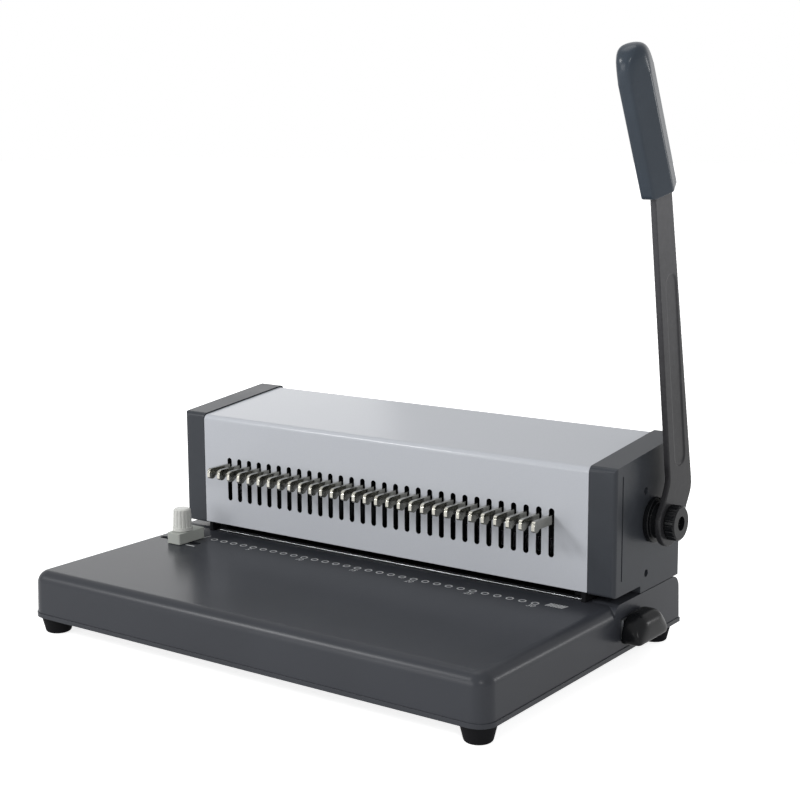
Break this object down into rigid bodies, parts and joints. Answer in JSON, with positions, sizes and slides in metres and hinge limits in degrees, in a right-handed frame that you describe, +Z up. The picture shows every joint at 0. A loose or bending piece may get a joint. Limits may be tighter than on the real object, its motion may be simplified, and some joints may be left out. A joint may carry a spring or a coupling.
{
  "type": "manual punching machine",
  "caption": "Desk machine with a side lever that drives a row of pull-pin punches through paper laid on its table.",
  "frame": {"origin": "centre of the overall plan outline, on the plane of the feet's undersides", "axes": "+X along the punch row towards the lever, +Y from the paper table to the back, +Z up"},
  "size_m": [0.3978, 0.2452, 0.3932],
  "materials": {
    "charcoal_paint": "satin powder coat",
    "grey_paint": "satin silver grey paint",
    "charcoal_plastic": "fine spark texture",
    "black_plastic": "satin",
    "black_rubber": "matt",
    "soft_grip": "matt",
    "dark_steel": "satin",
    "bright_steel": "ground",
    "zinc_steel": "zinc plated",
    "nickel": "bright nickel",
    "bronze": "sintered",
    "light_plastic": "satin",
    "cast_alloy": "bead blasted"
  },
  "bodies": {
    "chassis": {"base_shell": "charcoal_paint", "bottom_tray": "black_plastic", "rubber_feet": "black_rubber", "base_screws": "zinc_steel", "die_plate": "bright_steel", "punch_guide": "bright_steel", "side_plate_left": "zinc_steel", "side_plate_right": "zinc_steel", "cover": "grey_paint", "end_cap_left": "charcoal_plastic", "end_cap_right": "charcoal_plastic", "cap_screws": "zinc_steel", "shaft_bushes": "bronze", "guide_posts": "bright_steel", "return_springs": "bright_steel", "tray_runners": "black_plastic"},
    "lever": {"main_shaft": "bright_steel", "drive_gears": "zinc_steel", "shaft_collar": "black_plastic", "lever_arm": "dark_steel", "lever_grip": "soft_grip"},
    "clamp_knob": {"clamp_knob": "black_plastic"},
    "ram": {"ram": "zinc_steel", "punches": "bright_steel"},
    "tray": {"chip_tray": "zinc_steel", "tray_pull": "black_plastic"},
    "paper_stop": {"stop_block": "cast_alloy"},
    "stop_knob": {"stop_knob": "light_plastic"},
    "back_gauge": {"back_gauge": "zinc_steel"},
    "margin_dial": {"margin_dial": "black_plastic"},
    "pull_pin_01": {"pull_pin_01": "nickel"},
    "pull_pin_02": {"pull_pin_02": "nickel"},
    "pull_pin_03": {"pull_pin_03": "nickel"},
    "pull_pin_04": {"pull_pin_04": "nickel"},
    "pull_pin_05": {"pull_pin_05": "nickel"},
    "pull_pin_06": {"pull_pin_06": "nickel"},
    "pull_pin_07": {"pull_pin_07": "nickel"},
    "pull_pin_08": {"pull_pin_08": "nickel"},
    "pull_pin_09": {"pull_pin_09": "nickel"},
    "pull_pin_10": {"pull_pin_10": "nickel"},
    "pull_pin_11": {"pull_pin_11": "nickel"},
    "pull_pin_12": {"pull_pin_12": "nickel"},
    "pull_pin_13": {"pull_pin_13": "nickel"},
    "pull_pin_14": {"pull_pin_14": "nickel"},
    "pull_pin_15": {"pull_pin_15": "nickel"},
    "pull_pin_16": {"pull_pin_16": "nickel"},
    "pull_pin_17": {"pull_pin_17": "nickel"},
    "pull_pin_18": {"pull_pin_18": "nickel"},
    "pull_pin_19": {"pull_pin_19": "nickel"},
    "pull_pin_20": {"pull_pin_20": "nickel"},
    "pull_pin_21": {"pull_pin_21": "nickel"},
    "pull_pin_22": {"pull_pin_22": "nickel"},
    "pull_pin_23": {"pull_pin_23": "nickel"},
    "pull_pin_24": {"pull_pin_24": "nickel"},
    "pull_pin_25": {"pull_pin_25": "nickel"},
    "pull_pin_26": {"pull_pin_26": "nickel"},
    "pull_pin_27": {"pull_pin_27": "nickel"},
    "pull_pin_28": {"pull_pin_28": "nickel"},
    "pull_pin_29": {"pull_pin_29": "nickel"},
    "pull_pin_30": {"pull_pin_30": "nickel"}
  },
  "joints": [
    {"name": "lever_swing", "type": "hinge", "parent": "chassis", "child": "lever", "pos_m": [-0.00455, 0.08095, 0.0916], "axis": [1, 0, 0], "range_deg": [0, 80]},
    {"name": "clamp_turn", "type": "hinge", "parent": "lever", "child": "clamp_knob", "pos_m": [-0.00455, 0.08095, 0.0916], "axis": [1, 0, 0], "range_deg": [0, 360]},
    {"name": "ram_stroke", "type": "slide", "parent": "chassis", "child": "ram", "axis": [0, 0, -1], "range_m": [0, 0.01397], "stiffness_N_per_m": 4000, "springref_m": -0.005, "deforming": ["return_springs"]},
    {"name": "tray_slide", "type": "slide", "parent": "chassis", "child": "tray", "axis": [1, 0, 0], "range_m": [0, 0.3]},
    {"name": "stop_slide", "type": "slide", "parent": "chassis", "child": "paper_stop", "axis": [1, 0, 0], "range_m": [-0.015, 0.011]},
    {"name": "stop_knob_turn", "type": "hinge", "parent": "paper_stop", "child": "stop_knob", "pos_m": [-0.16155, -0.00365, 0.052], "axis": [0, 0, 1], "range_deg": [0, 360]},
    {"name": "dial_turn", "type": "hinge", "parent": "chassis", "child": "margin_dial", "pos_m": [-0.19255, 0.08255, 0.0563], "axis": [1, 0, 0], "range_deg": [-17.91, 17.91]},
    {"name": "gauge_slide", "type": "slide", "parent": "chassis", "child": "back_gauge", "axis": [0, 1, 0], "range_m": [-0.002, 0.002]},
    {"name": "pull_pin_01_slide", "type": "slide", "parent": "ram", "child": "pull_pin_01", "axis": [0, -1, 0], "range_m": [0, 0.012]},
    {"name": "pull_pin_02_slide", "type": "slide", "parent": "ram", "child": "pull_pin_02", "axis": [0, -1, 0], "range_m": [0, 0.012]},
    {"name": "pull_pin_03_slide", "type": "slide", "parent": "ram", "child": "pull_pin_03", "axis": [0, -1, 0], "range_m": [0, 0.012]},
    {"name": "pull_pin_04_slide", "type": "slide", "parent": "ram", "child": "pull_pin_04", "axis": [0, -1, 0], "range_m": [0, 0.012]},
    {"name": "pull_pin_05_slide", "type": "slide", "parent": "ram", "child": "pull_pin_05", "axis": [0, -1, 0], "range_m": [0, 0.012]},
    {"name": "pull_pin_06_slide", "type": "slide", "parent": "ram", "child": "pull_pin_06", "axis": [0, -1, 0], "range_m": [0, 0.012]},
    {"name": "pull_pin_07_slide", "type": "slide", "parent": "ram", "child": "pull_pin_07", "axis": [0, -1, 0], "range_m": [0, 0.012]},
    {"name": "pull_pin_08_slide", "type": "slide", "parent": "ram", "child": "pull_pin_08", "axis": [0, -1, 0], "range_m": [0, 0.012]},
    {"name": "pull_pin_09_slide", "type": "slide", "parent": "ram", "child": "pull_pin_09", "axis": [0, -1, 0], "range_m": [0, 0.012]},
    {"name": "pull_pin_10_slide", "type": "slide", "parent": "ram", "child": "pull_pin_10", "axis": [0, -1, 0], "range_m": [0, 0.012]},
    {"name": "pull_pin_11_slide", "type": "slide", "parent": "ram", "child": "pull_pin_11", "axis": [0, -1, 0], "range_m": [0, 0.012]},
    {"name": "pull_pin_12_slide", "type": "slide", "parent": "ram", "child": "pull_pin_12", "axis": [0, -1, 0], "range_m": [0, 0.012]},
    {"name": "pull_pin_13_slide", "type": "slide", "parent": "ram", "child": "pull_pin_13", "axis": [0, -1, 0], "range_m": [0, 0.012]},
    {"name": "pull_pin_14_slide", "type": "slide", "parent": "ram", "child": "pull_pin_14", "axis": [0, -1, 0], "range_m": [0, 0.012]},
    {"name": "pull_pin_15_slide", "type": "slide", "parent": "ram", "child": "pull_pin_15", "axis": [0, -1, 0], "range_m": [0, 0.012]},
    {"name": "pull_pin_16_slide", "type": "slide", "parent": "ram", "child": "pull_pin_16", "axis": [0, -1, 0], "range_m": [0, 0.012]},
    {"name": "pull_pin_17_slide", "type": "slide", "parent": "ram", "child": "pull_pin_17", "axis": [0, -1, 0], "range_m": [0, 0.012]},
    {"name": "pull_pin_18_slide", "type": "slide", "parent": "ram", "child": "pull_pin_18", "axis": [0, -1, 0], "range_m": [0, 0.012]},
    {"name": "pull_pin_19_slide", "type": "slide", "parent": "ram", "child": "pull_pin_19", "axis": [0, -1, 0], "range_m": [0, 0.012]},
    {"name": "pull_pin_20_slide", "type": "slide", "parent": "ram", "child": "pull_pin_20", "axis": [0, -1, 0], "range_m": [0, 0.012]},
    {"name": "pull_pin_21_slide", "type": "slide", "parent": "ram", "child": "pull_pin_21", "axis": [0, -1, 0], "range_m": [0, 0.012]},
    {"name": "pull_pin_22_slide", "type": "slide", "parent": "ram", "child": "pull_pin_22", "axis": [0, -1, 0], "range_m": [0, 0.012]},
    {"name": "pull_pin_23_slide", "type": "slide", "parent": "ram", "child": "pull_pin_23", "axis": [0, -1, 0], "range_m": [0, 0.012]},
    {"name": "pull_pin_24_slide", "type": "slide", "parent": "ram", "child": "pull_pin_24", "axis": [0, -1, 0], "range_m": [0, 0.012]},
    {"name": "pull_pin_25_slide", "type": "slide", "parent": "ram", "child": "pull_pin_25", "axis": [0, -1, 0], "range_m": [0, 0.012]},
    {"name": "pull_pin_26_slide", "type": "slide", "parent": "ram", "child": "pull_pin_26", "axis": [0, -1, 0], "range_m": [0, 0.012]},
    {"name": "pull_pin_27_slide", "type": "slide", "parent": "ram", "child": "pull_pin_27", "axis": [0, -1, 0], "range_m": [0, 0.012]},
    {"name": "pull_pin_28_slide", "type": "slide", "parent": "ram", "child": "pull_pin_28", "axis": [0, -1, 0], "range_m": [0, 0.012]},
    {"name": "pull_pin_29_slide", "type": "slide", "parent": "ram", "child": "pull_pin_29", "axis": [0, -1, 0], "range_m": [0, 0.012]},
    {"name": "pull_pin_30_slide", "type": "slide", "parent": "ram", "child": "pull_pin_30", "axis": [0, -1, 0], "range_m": [0, 0.012]}
  ],
  "couplings": [
    {"joint": "ram_stroke", "follows": "lever_swing", "m_per_rad": 0.01},
    {"joint": "dial_turn", "follows": "gauge_slide", "rad_per_m": 156.25}
  ]
}
